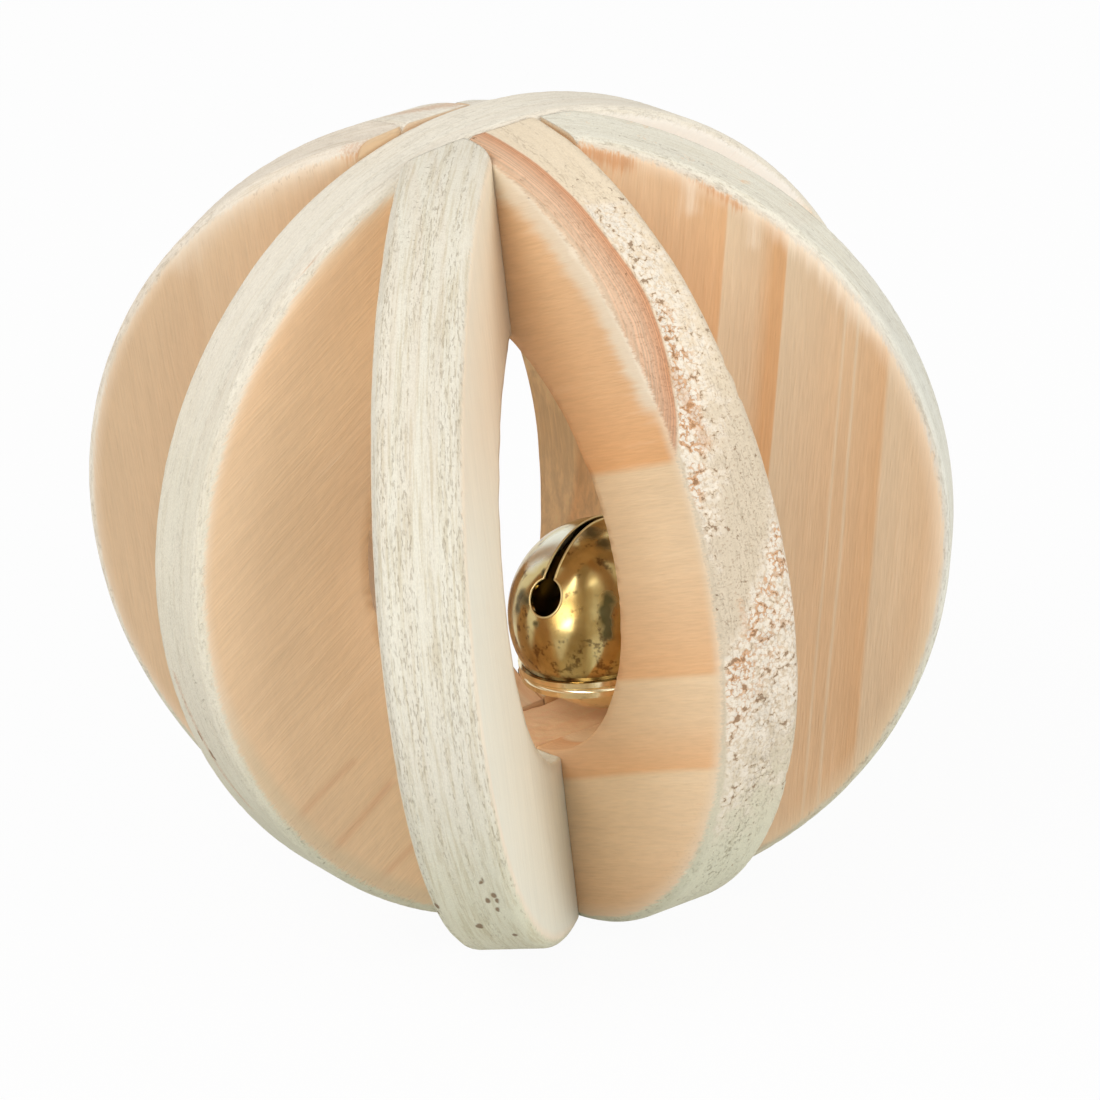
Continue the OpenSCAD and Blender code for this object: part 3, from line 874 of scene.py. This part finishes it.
class BallColours(bpy.types.PropertyGroup):
    """Colours of the wood, the metals and the studio."""

    face_light: paint("Face, early wood", "Planed face, pale part of a ring", 231, 205, 172)
    face_dark: paint("Face, late wood", "Planed face, dark part of a ring", 225, 171, 121)
    margin: paint("Margin", "Face beside the sanded rim", 238, 217, 190)
    margin_low: paint("Margin, low", "Greyer face beside the rim low down", 222, 201, 168)
    pale: paint("Pale fibres", "Torn or bleached fibres in a face", 240, 226, 204)
    bleached: paint("Bleached fibres", "Greyish white fibres", 244, 240, 230)
    rim_light: paint("Rim", "Sanded rim", 239, 231, 214)
    rim_dark: paint("Rim, dark", "Sanded rim, darker lines", 216, 203, 177)
    latewood: paint("Late wood", "Late wood cut across on a rim", 208, 154, 118)
    bruised: paint("Bruised fibres", "End grain round the chalky fibres", 222, 198, 170)
    chalk: paint("Chalky fibres", "Crushed white end grain", 237, 228, 212)
    torn: paint("Torn grain", "Freshly torn end grain", 208, 154, 108)
    pit: paint("Pit", "Small hole in the end grain", 132, 98, 66)
    dot: paint("Dot", "Pore of the end grain", 188, 148, 110)
    streak: paint("Streak", "Resin streak in a face", 196, 134, 88)
    dash: paint("Dash", "Short open fibre in a rim", 160, 138, 106)
    grime: paint("Grime", "Dark specks low on a rim", 138, 118, 86)
    # painted shade of the rims low down
    rim_low_shade: paint("Aged", "Tint of the rims low down", 230, 237, 227)
    brass: paint("Brass", "Polished brass of the bell", 200, 180, 124)
    # paler brass: partly rubbing, partly a painted highlight on the cap's ridge
    rubbed_and_highlit: paint("Rubbed brass, painted highlight", "Brass of the cap and its rolled edge", 242, 228, 188)
    lip: paint("Lip", "Rubbed edge of the slot", 206, 184, 130)
    tarnish: paint("Tarnish", "Clouded brass", 164, 136, 80)
    # a painted sheen: the white studio reflected on the bell
    worn: paint("Painted sheen", "Pale sheen painted on the brass", 236, 240, 226)
    # a painted dark green reflection on the bell
    green: paint("Painted dark reflection", "Dark green reflection painted on the brass", 46, 52, 30)
    speck: paint("Speck", "Dark speck on the brass", 84, 58, 30)
    floor: paint("Floor", "Floor of the studio", 222, 222, 222)


class StageSettings(bpy.types.PropertyGroup):
    """Lamps and camera."""

    sky: FloatProperty(name="Sky", description="Strength of the white surroundings", default=0.64)
    key: power("Key lamp", "large lamp", 2.5)
    fill: power("Fill lamp", "lamp on the right", 2.6)
    low: power("Low lamp", "lamp that shows only in glossy surfaces", 4.2)
    lens: length("Lens", "Focal length on a 36 mm sensor", 175.06)


# ---------------- operators
class BALL_OT_rings(bpy.types.Operator):
    """Builds the seven sawn rings and gives each its wood"""

    bl_idname = "ball.rings"
    bl_label = "Wooden rings"

    def execute(self, context):
        size, ink = context.scene.ball_sizes, inks(context.scene.ball_colours)
        for name, spec in RINGS.items():
            piece = ring_surface(name, spec, size)
            piece.data.materials.append(wood_material(name + "_wood", spec, size, ink))
            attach(piece, "root")
            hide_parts(name)
        return {"FINISHED"}


class BALL_OT_bell(bpy.types.Operator):
    """Finishes the bell and adds the turned-up lip round its slot"""

    bl_idname = "ball.bell"
    bl_label = "Brass bell"

    def execute(self, context):
        size, ink = context.scene.ball_sizes, inks(context.scene.ball_colours)
        shell = brass_material("bell_brass_worn", ink.brass, ink, size, 1.0)
        # the cap's brass is pale partly from rubbing and partly as a painted highlight on its
        # rolled ridge
        cap = brass_material("bell_brass_rubbed", ink.rubbed_and_highlit, ink, size, 0.35)
        pellet = plain_metal("pellet_steel_bright", linear(STEEL), 0.25)
        for name, metal in (("bell_shell", shell), ("bell_cap", cap), ("bell_pellet", pellet)):
            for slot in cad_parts[name].material_slots:
                slot.material = metal
        lip = slot_lip(size)
        lip.data.materials.append(plain_metal("bell_lip", ink.lip, 0.30))
        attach(lip, "root")
        return {"FINISHED"}


class BALL_OT_stage(bpy.types.Operator):
    """Adds the floor, the soft light and the camera"""

    bl_idname = "ball.stage"
    bl_label = "Studio"

    def execute(self, context):
        scene, stage = context.scene, context.scene.ball_stage
        corners = np.array([(-1, -1, 0), (1, -1, 0), (1, 1, 0), (-1, 1, 0)])
        floor = make_object("floor", FLOOR_HALF * corners, [(0, 1, 2, 3)])
        floor.data.materials.append(floor_material(linear(scene.ball_colours.floor)))

        scene.world = bpy.data.worlds.new("studio")
        g = Graph(scene.world)
        strength = g.add("MapRange", {"Value": g.straight_rays(), "To Min": stage.sky,
                                      "To Max": 1.0})
        g.add("OutputWorld", (g.add("Background", ((1.0, 1.0, 1.0, 1.0), strength)),))
        for name, place, width in LAMPS:
            lamp = self.lamp(name, place, width, getattr(stage, name))
            lamp.visible_diffuse = name != "low"  # that one shows only in glossy surfaces
        self.camera(scene, stage.lens)
        scene.view_settings.view_transform = "Standard"
        return {"FINISHED"}

    def lamp(self, name, place, width, watts):
        """A square lamp that points at the ball."""
        data = bpy.data.lights.new(name, "AREA")
        data.size, data.energy = width, watts
        lamp = add_object(name, data)
        toward = np.array(LAMP_TARGET) - place
        toward /= np.linalg.norm(toward)
        side = np.cross(toward, [0.0, 0.0, 1.0])
        side /= np.linalg.norm(side)
        lamp.matrix_world = facing(side, np.cross(side, toward), -toward, place)
        return lamp

    def camera(self, scene, lens):
        """The camera of the fitted view."""
        az, el, roll = CAMERA_TURNS
        back = np.array([math.sin(az) * math.cos(el), -math.cos(az) * math.cos(el), math.sin(el)])
        right = np.array([math.cos(az), math.sin(az), 0.0])
        up = np.cross(back, right)
        right, up = (math.cos(roll) * right + math.sin(roll) * up,
                     -math.sin(roll) * right + math.cos(roll) * up)
        data = bpy.data.cameras.new("camera")
        data.lens, data.sensor_width, data.sensor_fit = lens, 36.0, "HORIZONTAL"
        data.clip_start = 0.01
        scene.camera = add_object("camera", data)
        scene.camera.matrix_world = facing(right, up, back, (axis_centre() + CAMERA_PLACE) * MM)


class BALL_PT_panel(bpy.types.Panel):
    """Lists the steps and the settings"""

    bl_idname = "BALL_PT_panel"
    bl_label = "Rattle ball"
    bl_space_type = "VIEW_3D"
    bl_region_type = "UI"
    bl_category = "Rattle ball"

    def draw(self, context):
        layout = self.layout
        for step in ("ball.rings", "ball.bell", "ball.stage"):
            layout.operator(step)
        for name, group in GROUPS.items():
            column = layout.column()
            for key in group.__annotations__:
                column.prop(getattr(context.scene, name), key)


CLASSES = (BallSizes, BallColours, StageSettings, BALL_OT_rings, BALL_OT_bell, BALL_OT_stage,
           BALL_PT_panel)
GROUPS = {"ball_sizes": BallSizes, "ball_colours": BallColours, "ball_stage": StageSettings}


def register():
    """Registers the classes and hangs the settings on the scene."""
    for cls in CLASSES:
        bpy.utils.register_class(cls)
    for name, group in GROUPS.items():
        setattr(bpy.types.Scene, name, PointerProperty(type=group))


def unregister():
    """Takes the settings and the classes away again."""
    for name in GROUPS:
        delattr(bpy.types.Scene, name)
    for cls in reversed(CLASSES):
        bpy.utils.unregister_class(cls)


def main():
    """Builds everything in order."""
    register()
    bpy.ops.ball.rings()
    bpy.ops.ball.bell()
    bpy.ops.ball.stage()


if __name__ == "__main__":
    main()
